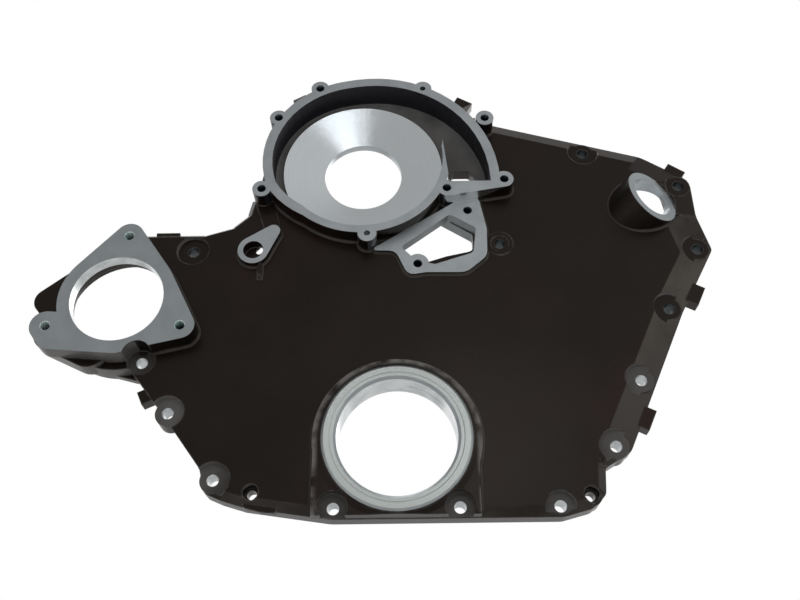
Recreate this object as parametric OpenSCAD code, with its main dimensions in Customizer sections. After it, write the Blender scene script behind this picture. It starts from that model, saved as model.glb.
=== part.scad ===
// Front timing cover of a heavy diesel engine, one aluminium casting with machined faces.
// The crankshaft axis is the Y axis, +X is right and +Z is up as seen from the front.
// The face that bolts to the block is the plane y = 0, and the front of the cover points to -Y.
// Depths in this file are measured forward from that mating plane.

/* [Case] */
// Depth of the front plate's outer surface
plate_depth = 25; // [22:0.5:32]
// Thickness of the front plate
plate_wall = 7; // [5:0.5:8]
// Thickness of the outer flange at its edge
lip_depth = 17; // [15:0.5:19]
// Depth of the step in the gear space's wall
step_depth = 13; // [10:0.5:15]
// Radius of the camshaft gear's clearance in the gear space
cam_clear_r = 104; // [96:1:106]

/* [Fixings] */
// Diameter of the holes for the fixing bolts
fix_hole_d = 11; // [8:0.5:13]
// Radius of the boss round each fixing hole
fix_boss_r = 12; // [10:0.5:14]
// Radius of the three bosses in the bottom rim
foot_boss_r = 14; // [13:0.5:16]
// How far the seats under the bolt heads lie below the front plate
fix_seat_sink = 4.5; // [2:0.5:4.5]
// Radius of the pocket over each seat
fix_seat_r = 16; // [14:0.5:17]
// Radius of the pockets that lie close to the seal, the filler or the accessory flange
close_seat_r = 13.5; // [12:0.5:14]
// Diameter of the two dowel holes
dowel_d = 9; // [7:0.5:10]
// Diameter of the relief in front of the dowel holes
dowel_relief_d = 14; // [12:0.5:16]

/* [Crankshaft seal] */
// Diameter of the bore for the crankshaft's front seal
seal_bore_d = 110; // [90:1:116]
// Outer diameter of the machined ring round the seal
seal_ring_d = 137; // [128:1:145]
// Depth of the machined ring's face
seal_ring_depth = 36.5; // [34:0.5:42]
// Lead-in at the front of the seal's bore
seal_lead = 2.5; // [1:0.5:3]
// Chamfer on the machined ring's outer edge
seal_ring_edge = 1.5; // [0.5:0.5:2]
// Depth of the raised arch round the seal
arch_depth = 30; // [27:0.5:33]
// Radius of the raised arch
arch_r = 77; // [74:0.5:82]
// Depth of the seal housing's rear rim
seal_rear_depth = 4; // [3:0.5:9]
// Radius of the seal housing inside the gear space
seal_rear_r = 63; // [60:0.5:68]

/* [Water pump] */
// Position of the pump's axis to the right of the crankshaft
pump_x = -34; // [-40:1:-28]
// Height of the pump's axis above the crankshaft
pump_z = 301; // [296:1:306]
// Diameter of the eye
eye_d = 82; // [70:1:88]
// Depth of the funnel at the eye
eye_depth = 8; // [6:0.5:10]
// Diameter of the funnel's outer edge
funnel_d = 168; // [160:1:172]
// Depth of the funnel's outer edge
funnel_depth = 19; // [17:0.5:24]
// Depth of the volute's floor
volute_floor = 14; // [13:0.5:17]
// Depth of the pump ring's machined face
ring_depth = 44; // [40:0.5:50]
// Radius at which the volute starts
volute_start_r = 93; // [90:0.5:96]
// Growth of the volute's radius up to its outlet
volute_growth = 42; // [34:1:46]
// Wall of the volute
volute_wall = 10; // [8:0.5:13]
// Wall of the ring under the funnel
ring_wall = 8; // [7:0.5:11]
// Radius of the bosses on the pump ring
ring_boss_r = 9.5; // [8:0.5:12]
// Diameter of the threaded holes in the pump ring
ring_hole_d = 9; // [6:0.5:11]
// Diameter of the pump's locating pins' holes
pin_hole_d = 6; // [4:0.5:8]
// Depth of the lightening pockets behind the volute
pocket_depth = 8.5; // [5:0.5:9]
// Depth of the lightening pockets beside the eye
eye_pocket_depth = 5.5; // [4:0.5:6]

/* [Coolant outlet] */
// Depth of the outlet flange's machined face
outlet_depth = 29; // [27:0.5:34]
// Radius of the bosses on the outlet flange
outlet_boss_r = 11; // [9:0.5:13]
// Depth of the inlet chamber behind the outlet
inlet_depth = 17; // [16:0.5:22]

/* [Accessory drive] */
// Position of the accessory bore to the right of the crankshaft
drive_x = -267.5; // [-272:0.5:-263]
// Height of the accessory bore above the crankshaft
drive_z = 138.5; // [134:0.5:142]
// Diameter of the accessory bore
drive_bore_d = 90; // [80:1:96]
// Diameter of the pitch circle of the accessory's three bolts
drive_pcd = 140; // [134:1:146]
// Depth of the accessory flange's machined face
drive_depth = 44; // [40:0.5:52]
// Radius of the flange's round body
drive_body_r = 57; // [55:0.5:62]
// Radius of the flange's lobes
drive_lobe_r = 14; // [12:0.5:17]
// Diameter of the threaded holes in the lobes
drive_hole_d = 10; // [8:0.5:12]
// Depth of the threaded holes in the lobes
drive_hole_depth = 14; // [10:1:15]
// Thickness of the flange under its free lobe
drive_lobe_t = 18; // [17:0.5:20]
// Radius of the gear's recess behind the flange
drive_recess_r = 59; // [54:0.5:60]
// Depth of the gear's recess
drive_recess_depth = 20; // [16:0.5:24]
// Radius of the step at the recess's bottom
drive_step_r = 48; // [46:0.5:49]
// Depth of that step
drive_step_depth = 31; // [28:0.5:34]
// Thickness of the mating flange round the recess
drive_back_depth = 22; // [16:0.5:26]

/* [Oil filler] */
// Diameter of the filler's bore
filler_bore_d = 46; // [38:0.5:50]
// Diameter of the filler's machined face
filler_face_d = 62; // [58:0.5:66]
// Depth of the middle of the filler's face
filler_depth = 36; // [33:0.5:40]
// Lean of the filler to the right
filler_lean = 32; // [25:1:36]
// Lean of the filler upwards
filler_rise = 10; // [5:1:15]

/* [Sensor boss] */
// Diameter of the sensor's bore
sensor_bore_d = 20; // [14:0.5:22]
// Depth of the bore's floor
sensor_seat_depth = 21; // [20:0.5:26]
// Width of the slot for the sensor's tip
sensor_tip_d = 6; // [5:0.5:8]
// Radius of the boss round the sensor
sensor_boss_r = 15.5; // [14:0.5:18]
// Depth of the sensor boss's face
sensor_depth = 33; // [30:0.5:38]

/* [Lugs] */
// Depth at which the lugs start
lug_start = 5; // [3:0.5:8]
// Thickness of the lugs
lug_t = 13; // [8:0.5:16]

/* [Hidden] */
$fn = 96;
corner_steps = 3;
past = 1;

floor_depth = plate_depth - plate_wall;
fix_seat_depth = plate_depth - fix_seat_sink;
eye_r = eye_d / 2;
funnel_r = funnel_d / 2;

// Outline of the flange: x, z, corner radius, and the width of the sloping band along the next edge
case_outline = [
    [-178, -24, 6, 0], [-172, -46, 6, 7], [-157, -52.5, 10, 7], [-136, -59, 20, 8],
    [-60, -70.5, 40, 8], [146, -70.5, 20, 8], [172, -63.5, 10, 8], [185, -51, 8, 8],
    [187, -27, 6, 9], [212, -12, 12, 26], [279.5, 128, 40, 27], [320, 199, 8, 36],
    [310, 240, 40, 39], [310, 284, 16, 26], [262, 315, 40, 15], [90, 365, 0, 0],
    [-34, 360, 0, 0], [-120, 268, 0, 6], [-149, 265, 3, 6], [-153, 246, 10, 6],
    [-168, 232, 12, 6], [-194, 224, 8, 6], [-266, 224, 0, 0], [-290, 140, 0, 0],
    [-250, 70, 0, 0], [-219, 31, 4, 0]
];

// Outline of the gear space: x, z, corner radius, width of the step in its wall
gear_space = [
    [-150, -41, 8, 1], [-112, -50, 20, 1], [-68, -58, 20, 1], [130, -58, 10, 1],
    [164, -50, 6, 1], [193, -5, 20, 6], [262, 128, 40, 9], [301, 199, 12, 9],
    [295, 240, 30, 14], [288, 272, 12, 12], [254, 299, 30, 6], [114, 338, 5, 1],
    [114, 288, 8, 1], [120, 262, 8, 1], [117, 193, 6, 1], [54, 191, 14, 1],
    [26, 170, 5, 1], [-11, 171, 5, 1], [-190, 203, 8, 1], [-210, 186, 6, 1],
    [-240, 192, 0, 1], [-240, 96, 0, 1], [-227, 70, 8, 1], [-209, 38, 6, 1]
];

// Centre of the camshaft gear
cam_gear = [-115, 124];

// Fixing holes in the case's flange, two with close pockets, those in the bottom rim, and the dowels
case_fixings = [
    [200, 318], [304, 198], [266, 131], [229, 56], [198, -8], [-165, -35], [-212, 29], [-204, 202]
];
close_fixings = [[296, 275], [-242, 80]];
foot_fixings = [[143, -62], [55, -62], [-57, -62]];
dowels = [[171, -52], [-130, -47]];
dowel_length = 14;

// Round recesses that clear the gears, in the floor of the gear space: x, z, radius
gear_recesses = [[72, 94, 73], [187, 139, 35], [159, 47, 18]];
recess_depth = 1.5;

// Machined pads round the seal's housing, in the gear space
seal_pads = [
    [[44, 38], [82, 33], [84, 14], [79, -14], [63, -30], [46, -28]],
    [[16, 54], [-5, 72], [-31, 60], [-20, 50], [0, 50]],
    [[-31, 54], [-57, 63], [-79, 17], [-60, 6], [-40, 25]],
    [[-50, -8], [-61, 3], [-92, -33], [-87, -44], [-71, -49], [-42, -32]]
];
pad_corner = 3;

// Height of the raised arch's foot, and how far its left and right sides stand in
arch_foot = case_outline[4][1] + 0.5;
arch_inset = [1, 4];

// Pump ring, from the pump's axis: threaded holes, then the holes of the locating pins
ring_holes = [[-102, -38], [-89, 53], [-46, 92], [130, 49], [146, -30], [87, -40]];
pin_holes = [[65, 90], [6, -93]];
outlet_holes = [[108, -58], [56, -120]];
ring_corners = [for (i = [0, 1, 2]) ring_holes[i], pin_holes[0], ring_holes[3], ring_holes[4]];
corner_hole = [139, -96];
corner_seat_r = 9;

// Angles at which the volute starts to grow and at which it ends
volute_grow_from = 100;
volute_end = -12;
volute_taper_from = 200;
volute_start = 236;
volute_steps = 40;
volute_overlap = 4;
volute_taper = volute_start_r - funnel_r + volute_overlap;

// Tongue that divides the volute's outlet from the funnel, and the outlet's straight end
tongue = [[84.5, 21], [90.5, -35], [75, -39]];
volute_mouth = [[132.4, -32], [87, -32]];
mouth_window = [[130, -39, 4], [121, -14, 20], [113, 1, 4], [95, 1, 3], [92, -25, 6], [101, -38, 4]];

// Lightening pockets behind the volute, from the pump's axis
pocket_corner = 4;
deep_pockets = [
    [[112, 57], [104, 71], [72, 85], [68, 75], [80, 60]],
    [[46, 76], [23, 64], [37, 51]],
    [[-69, 78], [-77, 84], [-86, 62], [-77, 60]],
    [[122, 39], [112, 49], [74, 49], [91, 14], [108, 14]],
    [[87, 11], [68, 40], [53, 38], [76, -31]],
    [[-54, 45], [-74, 52], [-92, 5], [-68, 5]],
    [[-66, -2], [-90, -2], [-84, -29], [-61, -18]],
    [[-45, -39], [-60, -25], [-84, -37], [-60, -48]],
    [[-54, -62], [-60, -51], [-86, -47], [-111, -54], [-111, -62]]
];
eye_pockets = [
    [[44, 91], [-33, 93], [-42, 40], [-16, 51], [8, 56]],
    [[-5, -51], [-19, -51], [-26, -70], [-5, -82]]
];

// Inlet chamber behind the pump, round the eye's wall and out to the outlet flange
eye_wall = 9;
inlet_swing = [-27, -85];
inlet_outline = [
    [18, -99, 8], [34, -121, 6], [86, -104, 6], [113, -98, 6], [113, -79, 4], [78, -56, 8],
    [70, -43, 8], [60, -8, 5]
];

// Outlet flange and its window, from the pump's axis
outlet_outline = [
    [8, -104, 2], [34, -105, 10], [46, -133, 9], [64, -130, 6], [104, -130.5, 16], [125.5, -112, 14],
    [126.5, -80, 24], [120, -43, 6], [104, -42, 8]
];
outlet_window = [
    [39.5, -100.5, 2], [54, -116, 6], [73, -121, 4], [112, -108, 6], [115.5, -79, 4], [89.5, -62.5, 5]
];

// Accessory flange, from its bore: angles of the lobes, and the lobes of the mating flange
drive_angles = [87, 204, 335];
drive_tip = [-74.5, 9.5];
drive_top = [-1, 72.5];
tip_hole_depth = 18;
drive_foot = [[-58, -40, 13], [4, -38, 20]];
drive_web = [-25, -45, 19];
drive_web_start = 8;
drive_corner = [[-12, -60, 0], [-6, -64.3, 0], [20, -71.5, 3], [27, -60, 0]];
drive_back_r = 65.5;

// Hollow in the edge beside the accessory flange, open upwards at the back
edge_hollow = [[-262, 240, 3], [-257, 209, 5], [-228, 209, 5], [-203, 240, 3]];
edge_hollow_depth = 10;

// Middle of the oil filler's face
filler_at = [262.5, 252];
filler_neck = 80;
filler_cut = 40;

// Sensor boss: middle of its bore, and the small end of its drop shape
sensor_at = [-142, 197];
sensor_end = [-123, 219];
sensor_end_r = 7;
sensor_rib_w = 15;
sensor_tail_at = [5.5, -28.5];
sensor_tail = [3, 20];

// Handling lugs: x, z, direction outwards, width, reach
lugs = [
    [226.5, 21.5, -26, 21, 10], [292, 150, -27, 21, 10], [294, 293, 55, 20, 8.5],
    [-233, 49, 205, 13.5, 9], [74, 388.5, 60, 18.5, 8], [-102.5, 397, 120, 15.5, 6.5],
    [-233, 223, 90, 24, 4]
];
lug_root = 18;

// Pad under the bottom rim, at the left
foot_pad = [[-139, -52, 2], [-136, -60, 3], [-121, -64, 3], [-108, -65, 2], [-104, -54, 2]];
foot_pad_depth = [12, 20];

function unit(v) = v / norm(v);
function left_of(v) = [-v[1], v[0]];
function flat(p) = [p[0], p[1]];

// Points of an arc round a middle
function arc(middle, r, from, to, n) =
    [for (i = [0:n]) middle + r * [cos(from + (to - from) * i / n), sin(from + (to - from) * i / n)]];

// Points of one corner b between a and c, rounded to radius r and limited by its edges
function corner(a, b, c, r) =
    r == 0 ? [b] : let (
        u = unit(a - b),
        v = unit(c - b),
        half = acos(max(-1, min(1, u * v))) / 2,
        room = 0.45 * min(norm(a - b), norm(c - b)),
        reach = min(r / tan(half), room),
        fit_r = reach * tan(half),
        middle = b + unit(u + v) * fit_r / sin(half),
        p = b + u * reach - middle,
        q = b + v * reach - middle,
        start = atan2(p[1], p[0]),
        sweep = atan2(cross(p, q), p * q)
    )
    [for (i = [0:corner_steps])
        middle + fit_r * [cos(start + sweep * i / corner_steps), sin(start + sweep * i / corner_steps)]];

// A closed outline with rounded corners, from corners of x, z and radius
function rounded(pts) =
    let (n = len(pts))
    [for (i = [0:n - 1])
        each corner(flat(pts[(i + n - 1) % n]), flat(pts[i]), flat(pts[(i + 1) % n]), pts[i][2])];

// The same corners moved inwards, each by its own fourth value
function inset(pts) =
    let (n = len(pts))
    [for (i = [0:n - 1])
        let (
            a = flat(pts[(i + n - 1) % n]),
            b = flat(pts[i]),
            c = flat(pts[(i + 1) % n]),
            m = left_of(unit(b - a)),
            k = left_of(unit(c - b)),
            p = b + pts[i][3] * (m + k) / (1 + m * k)
        )
        [p[0], p[1], pts[i][2]]];

// Radius of the volute's inner wall at an angle from the right
function volute_r(angle) =
    let (
        grown = max(0, volute_grow_from - angle) / (volute_grow_from - volute_end),
        narrowed = max(0, angle - volute_taper_from) / (volute_start - volute_taper_from)
    )
    volute_start_r + volute_growth * pow(grown, 1.5) - volute_taper * narrowed;

function volute_points(wall) =
    [for (i = [0:volute_steps])
        let (angle = volute_start + (volute_end - volute_start) * i / volute_steps)
        (volute_r(angle) + wall) * [cos(angle), sin(angle)]];

// Extrudes a flat shape in x and z between two depths
module slab(from, to) {
    rotate([90, 0, 0]) translate([0, 0, from]) linear_extrude(to - from) children();
}

// A round post, cone or cutter at a point of x and z between two depths
module post(at, r, from, to, end_r = undef) {
    translate([at[0], -from, at[1]]) rotate([90, 0, 0])
        cylinder(r1 = r, r2 = end_r == undef ? r : end_r, h = to - from);
}

// Moves to the pump's axis
module at_pump() {
    translate([pump_x, 0, pump_z]) children();
}

// Moves to the accessory bore's axis
module at_drive() {
    translate([drive_x, 0, drive_z]) children();
}

// Turns the front direction to the filler's axis, at the middle of its face
module at_filler() {
    translate([filler_at[0], -filler_depth, filler_at[1]])
        rotate([0, 0, filler_lean]) rotate([90 - filler_rise, 0, 0]) children();
}

// The case: a flange, a sloping band and a flat front plate
module case_body() {
    n = len(case_outline);
    difference() {
        slab(0, plate_depth) polygon(rounded(case_outline));
        for (i = [0:n - 1])
            if (case_outline[i][3] > 0)
                edge_slope(flat(case_outline[i]), flat(case_outline[(i + 1) % n]), case_outline[i][3]);
    }
}

// Cutter of the sloping band along the edge from a to b
module edge_slope(a, b, w) {
    rise = plate_depth - lip_depth;
    turn = atan2(b[1] - a[1], b[0] - a[0]);
    translate([a[0], -lip_depth, a[1]]) rotate([0, -turn, 0])
        translate([-2 * past, 0, 0]) rotate([90, 0, 90]) linear_extrude(norm(b - a) + 4 * past)
            polygon([[rise, -w], [-2 * rise, 2 * w], [-2 * rise, -w]]);
}

// The space for the timing gears, open to the block, with a step in its wall
module gear_space_cut() {
    slab(-past, step_depth) {
        polygon(rounded(gear_space));
        translate(cam_gear) circle(cam_clear_r);
    }
    slab(step_depth - past, floor_depth) {
        polygon(rounded(inset(gear_space)));
        translate(cam_gear) circle(cam_clear_r - 1);
    }
    at_drive() {
        post([0, 0], drive_recess_r, -past, drive_recess_depth);
        post([0, 0], drive_step_r, drive_recess_depth - past, drive_step_depth);
    }
    for (g = gear_recesses)
        post(g, g[2], floor_depth - past, floor_depth + recess_depth);
}

// Flat shape of the ring round the pump, with its bosses
module ring_shape() {
    polygon(concat(volute_points(volute_wall), [[0, 0]]));
    circle(funnel_r + ring_wall);
    for (p = concat(ring_holes, pin_holes))
        translate(p) circle(ring_boss_r);
    hull() {
        translate(ring_holes[4]) circle(ring_boss_r, $fn = 32);
        translate(ring_holes[5]) circle(ring_boss_r, $fn = 32);
    }
}

module pump_body() {
    at_pump() {
        slab(0, ring_depth) ring_shape();
        slab(0, volute_floor) offset(r = ring_boss_r, $fn = 32)
            polygon(ring_corners);
        slab(floor_depth - past, outlet_depth) polygon(rounded(outlet_outline));
        for (p = outlet_holes)
            post(p, ring_boss_r, 0, outlet_depth);
        post(corner_hole, close_seat_r, 0, plate_depth + past);
    }
}

// Flat shape of the volute's channel outside the funnel
module channel_shape() {
    difference() {
        polygon(concat(volute_points(0), volute_mouth, [[0, 0]]));
        circle(funnel_r - past);
        polygon(tongue);
    }
}

module pump_cuts() {
    at_pump() {
        slab(volute_floor, ring_depth + past) channel_shape();
        rotate([90, 0, 0]) rotate_extrude() polygon([
            [0, -past], [eye_r, -past], [eye_r, eye_depth], [funnel_r, funnel_depth],
            [funnel_r, ring_depth + past], [0, ring_depth + past]
        ]);
        slab(-past, volute_floor + past) polygon(rounded(mouth_window));
        for (p = deep_pockets)
            slab(-past, pocket_depth) polygon(rounded([for (q = p) [q[0], q[1], pocket_corner]]));
        for (p = eye_pockets)
            slab(-past, eye_pocket_depth) polygon(rounded([for (q = p) [q[0], q[1], pocket_corner]]));
        for (p = ring_holes)
            post(p, ring_hole_d / 2, -past, ring_depth + past);
        for (p = pin_holes)
            post(p, pin_hole_d / 2, -past, ring_depth + past);
    }
}

// Passage from the outlet flange to the chamber behind the pump, clear of the bolts' bosses
module outlet_cuts() {
    swing = arc([0, 0], eye_r + eye_wall + 2 * past, inlet_swing[0], inlet_swing[1], 10);
    chamber = concat(swing, rounded(inlet_outline));
    at_pump() {
        difference() {
            union() {
                intersection() {
                    slab(-past, inlet_depth) polygon(chamber);
                    rotate([90, 0, 0]) rotate_extrude() polygon([
                        [eye_r, -2 * past], [eye_r + eye_wall, eye_pocket_depth],
                        [funnel_r, volute_floor - 2 * past],
                        [funnel_r + ring_wall + 2 * past, inlet_depth],
                        [2 * funnel_r, inlet_depth], [2 * funnel_r, -2 * past]
                    ]);
                }
                slab(inlet_depth - 2 * past, outlet_depth + past) polygon(rounded(outlet_window));
            }
            for (p = outlet_holes)
                post(p, outlet_boss_r, -2 * past, outlet_depth + 2 * past);
        }
        for (p = outlet_holes)
            post(p, ring_hole_d / 2, -past, outlet_depth + past);
        post(corner_hole, fix_hole_d / 2, -past, plate_depth + 2 * past);
        post(corner_hole, corner_seat_r, plate_depth - past, plate_depth + 2 * past);
    }
}

// A point on the accessory's pitch circle
function drive_point(angle) = drive_pcd / 2 * [cos(angle), sin(angle)];

module drive_body() {
    at_drive() {
        slab(0, drive_back_depth) hull() {
            circle(drive_back_r, $fn = 64);
            translate(drive_tip) circle(drive_lobe_r, $fn = 32);
            translate(drive_top) circle(drive_lobe_r - 2, $fn = 32);
        }
        slab(drive_back_depth - past, drive_depth)
            hull() {
                circle(drive_body_r, $fn = 64);
                translate(drive_point(drive_angles[0])) circle(drive_lobe_r, $fn = 32);
                translate(drive_point(drive_angles[2])) circle(drive_lobe_r, $fn = 32);
            }
        slab(drive_depth - drive_lobe_t, drive_depth)
            hull() {
                translate(drive_point(drive_angles[1])) circle(drive_lobe_r + 1, $fn = 32);
                for (f = drive_foot)
                    translate([f[0], f[1]]) circle(f[2], $fn = 32);
            }
        slab(0, drive_web_start) polygon(rounded(drive_corner));
        slab(drive_web_start, drive_depth - drive_lobe_t + past)
            hull() {
                translate(drive_point(drive_angles[1])) circle(drive_lobe_r + 3, $fn = 32);
                translate(flat(drive_web)) circle(drive_web[2], $fn = 32);
            }
    }
}

module drive_cuts() {
    at_drive() {
        post([0, 0], drive_bore_d / 2, -past, drive_depth + past);
        for (a = drive_angles)
            post(drive_point(a), drive_hole_d / 2, drive_depth - drive_hole_depth, drive_depth + past);
        post(drive_tip, fix_hole_d / 2, -past, tip_hole_depth);
    }
    slab(-past, edge_hollow_depth) polygon(rounded(edge_hollow));
}

// Raised arch and machined ring round the crankshaft seal
module crank_body() {
    difference() {
        union() {
            slab(floor_depth, arch_depth) {
                circle(arch_r);
                translate([arch_inset[0] - arch_r, arch_foot])
                    square([2 * arch_r - arch_inset[0] - arch_inset[1], -arch_foot]);
            }
            post([0, 0], arch_r - 1, arch_depth - past, arch_depth + 3, seal_ring_d / 2 + 1);
            post([0, 0], seal_ring_d / 2, arch_depth, seal_ring_depth - seal_ring_edge);
            post([0, 0], seal_ring_d / 2, seal_ring_depth - seal_ring_edge, seal_ring_depth,
                seal_ring_d / 2 - seal_ring_edge);
        }
        translate([-arch_r, -arch_depth - arch_r, arch_foot - arch_r])
            cube([2 * arch_r, arch_depth + arch_r, arch_r]);
    }
}

// Drop-shaped boss of the sensor, its small tail, and the rib up to the pump ring
module sensor_body() {
    slab(floor_depth, sensor_depth) hull() {
        translate(sensor_at) circle(sensor_boss_r, $fn = 32);
        translate(sensor_end) circle(sensor_end_r, $fn = 32);
    }
    slab(floor_depth, sensor_depth - 4 * past)
        translate(sensor_at + sensor_tail_at) square(sensor_tail);
    slab(0, plate_depth + past) hull() {
        translate([pump_x, pump_z] + ring_holes[0]) circle(ring_boss_r, $fn = 32);
        translate(sensor_end) circle(sensor_rib_w / 2, $fn = 32);
    }
}

// Neck of the filler, trimmed at the back of the front plate
module filler_body() {
    intersection() {
        at_filler() translate([0, 0, -filler_neck]) cylinder(d = filler_face_d, h = filler_neck);
        post(filler_at, filler_neck, floor_depth, filler_depth + filler_face_d);
    }
}

module filler_cuts() {
    at_filler() {
        cylinder(d = filler_face_d, h = filler_cut);
        translate([0, 0, -filler_neck]) cylinder(d = filler_bore_d, h = filler_neck + past);
    }
}

module lug_bodies() {
    for (g = lugs)
        translate([g[0], 0, g[1]]) rotate([0, -g[2], 0])
            translate([-lug_root, -lug_start - lug_t, -g[3] / 2]) cube([lug_root + g[4], lug_t, g[3]]);
    slab(foot_pad_depth[0], foot_pad_depth[1]) polygon(rounded(foot_pad));
}

// Everything outside the gear space
module outer_body() {
    case_body();
    pump_body();
    drive_body();
    crank_body();
    sensor_body();
    filler_body();
    lug_bodies();
}

// What stands inside the gear space: bosses of the fixings and the seal's housing
module inner_bosses() {
    for (p = concat(case_fixings, close_fixings))
        post(p, fix_boss_r, 0, fix_seat_depth);
    for (p = foot_fixings)
        post(p + [0, foot_boss_r / 2], foot_boss_r, 0, fix_seat_depth);
    for (p = dowels)
        post(p, fix_boss_r - 2, 0, floor_depth + past);
    post([0, 0], seal_rear_r, seal_rear_depth, floor_depth + past);
    for (p = seal_pads)
        slab(seal_rear_depth, floor_depth + past + recess_depth)
            polygon(rounded([for (q = p) [q[0], q[1], pad_corner]]));
}

module fixing_cuts() {
    for (p = concat(case_fixings, close_fixings, foot_fixings))
        post(p, fix_hole_d / 2, -past, drive_depth);
    for (p = case_fixings)
        post(p, fix_seat_r, fix_seat_depth, drive_depth + past);
    for (p = concat(close_fixings, foot_fixings))
        post(p, close_seat_r, fix_seat_depth, drive_depth + past);
    for (p = dowels) {
        post(p, dowel_d / 2, -past, drive_depth);
        post(p, dowel_relief_d / 2, dowel_length, drive_depth + past);
    }
}

module seal_cuts() {
    post([0, 0], seal_rear_r, -past, seal_rear_depth);
    post([0, 0], seal_bore_d / 2, 0, seal_ring_depth + past);
    post([0, 0], seal_bore_d / 2, seal_ring_depth - seal_lead, seal_ring_depth + past,
        seal_bore_d / 2 + seal_lead + past);
}

module sensor_cuts() {
    along = unit(sensor_end - sensor_at);
    side = left_of(along) * sensor_tip_d / 2;
    tail = sensor_at + along * sensor_tip_d / 2;
    head = sensor_end + along * sensor_tip_d / 2;
    ends = [tail - side, head - side, head + side, tail + side];
    slot = [for (p = ends) [p[0], p[1], sensor_tip_d / 2.2]];
    post(sensor_at, sensor_bore_d / 2, sensor_seat_depth, sensor_depth + past);
    slab(-past, sensor_seat_depth + 3 * past) polygon(rounded(slot));
}

module timing_cover() {
    color("dimgray") difference() {
        union() {
            difference() {
                outer_body();
                gear_space_cut();
            }
            inner_bosses();
        }
        seal_cuts();
        sensor_cuts();
        filler_cuts();
        pump_cuts();
        outlet_cuts();
        drive_cuts();
        fixing_cuts();
    }
}

timing_cover();
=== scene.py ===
# %% [markdown]
# # Timing cover of a diesel engine
# The cover is one aluminium casting: painted nearly black all over, then milled, turned and drilled where
# other parts bolt on. The shape comes from the packed model. This lesson adds what the eye looks for next:
# where the paint stops and bare metal starts, the marks that each cutter left, the threads, and soft light.

import bpy
import numpy as np
from mathutils import Matrix, Vector


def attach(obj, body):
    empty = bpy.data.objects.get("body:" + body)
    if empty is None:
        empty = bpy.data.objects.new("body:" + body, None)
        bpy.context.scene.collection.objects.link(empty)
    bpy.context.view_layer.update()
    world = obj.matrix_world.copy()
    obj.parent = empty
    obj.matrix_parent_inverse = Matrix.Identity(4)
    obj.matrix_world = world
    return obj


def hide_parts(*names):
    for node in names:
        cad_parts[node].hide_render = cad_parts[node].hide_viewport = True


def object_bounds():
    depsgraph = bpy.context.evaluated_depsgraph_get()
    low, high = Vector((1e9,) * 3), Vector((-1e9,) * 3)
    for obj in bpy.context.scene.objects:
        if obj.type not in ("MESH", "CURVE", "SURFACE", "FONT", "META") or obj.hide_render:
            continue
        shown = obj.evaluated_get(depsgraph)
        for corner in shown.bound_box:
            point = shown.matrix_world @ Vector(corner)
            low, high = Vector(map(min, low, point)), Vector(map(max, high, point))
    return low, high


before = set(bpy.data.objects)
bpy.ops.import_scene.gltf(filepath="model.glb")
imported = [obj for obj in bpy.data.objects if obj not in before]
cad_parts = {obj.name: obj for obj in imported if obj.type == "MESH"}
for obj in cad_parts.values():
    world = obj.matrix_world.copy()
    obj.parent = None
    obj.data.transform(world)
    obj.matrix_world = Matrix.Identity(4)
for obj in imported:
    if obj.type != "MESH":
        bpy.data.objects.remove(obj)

MM = 0.001
TURN = 2 * np.pi
CAD_BOX = [list(corner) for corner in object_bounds()]
cover_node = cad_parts["timing_cover"]
print("packed box in mm:", [[round(v / MM, 1) for v in corner] for corner in CAD_BOX])

# %% [markdown]
# ## Camera
# A photograph for a parts list is taken from a little way off, so straight edges still converge slightly.
# The camera stands in front of the cover and below its foot, and looks up at it. It could be set by eye, but
# its place and aim were solved from the bolt holes, so the picture and the model line up hole by hole.

# %% Camera
CAMERA_AT = Vector((7.9, -823.9, -279.1)) * MM
CAMERA_FORWARD = Vector((-0.0044, 0.8845, 0.4665)).normalized()
CAMERA_RIGHT = Vector((0.9999, 0.0100, -0.0095))
FOCAL_PIXELS = 925.0
IMAGE_WIDTH = 800
SENSOR_WIDTH = 36.0

camera_data = bpy.data.cameras.new("camera")
camera_data.sensor_width = SENSOR_WIDTH
camera_data.lens = FOCAL_PIXELS * SENSOR_WIDTH / IMAGE_WIDTH
camera = bpy.data.objects.new("camera", camera_data)
bpy.context.scene.collection.objects.link(camera)
back = -CAMERA_FORWARD
right = (CAMERA_RIGHT - back * CAMERA_RIGHT.dot(back)).normalized()
up = back.cross(right)
turn = Matrix((right, up, back)).transposed()
camera.matrix_world = Matrix.Translation(CAMERA_AT) @ turn.to_4x4()
bpy.context.scene.camera = camera
print("lens in mm:", round(camera_data.lens, 2))

# %% [markdown]
# ## Shader maths
# A pattern is arithmetic on sockets. Written as nodes by hand it is long and hard to read, so a small class
# wraps a socket and overloads the operators: `1 - mask * 0.5` then adds the Math nodes by itself. Every other
# node comes from one method, `add`, which sets the node's options first and then fills or links its sockets.

# %% Values that add their own nodes
class Signal:
    """A value socket that can be added, multiplied and so on."""

    def __init__(self, finish, socket):
        self.finish = finish
        self.socket = socket

    def maths(self, operation, first, second=0.0):
        return self.finish.add("ShaderNodeMath", {"operation": operation}, {0: first, 1: second})

    def __add__(self, other):
        return self.maths("ADD", self, other)

    def __radd__(self, other):
        return self.maths("ADD", other, self)

    def __sub__(self, other):
        return self.maths("SUBTRACT", self, other)

    def __rsub__(self, other):
        return self.maths("SUBTRACT", other, self)

    def __mul__(self, other):
        return self.maths("MULTIPLY", self, other)

    def __rmul__(self, other):
        return self.maths("MULTIPLY", other, self)

    def sin(self):
        return self.maths("SINE", self)

    def steps(self, low, high):
        """Rises smoothly from 0 at low to 1 at high."""
        sockets = {"Value": self, "From Min": low, "From Max": high}
        return self.finish.add("ShaderNodeMapRange", {"interpolation_type": "SMOOTHSTEP"}, sockets)


print("Signal:", Signal.__doc__)

# %% Finishes
BEVEL_SAMPLES = 4
# How far a rounded normal must lean before an edge takes the lighter colour of worn paint and painted
# highlight.
WEAR_AND_GLINT_LEAN = (0.02, 0.30)


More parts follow.
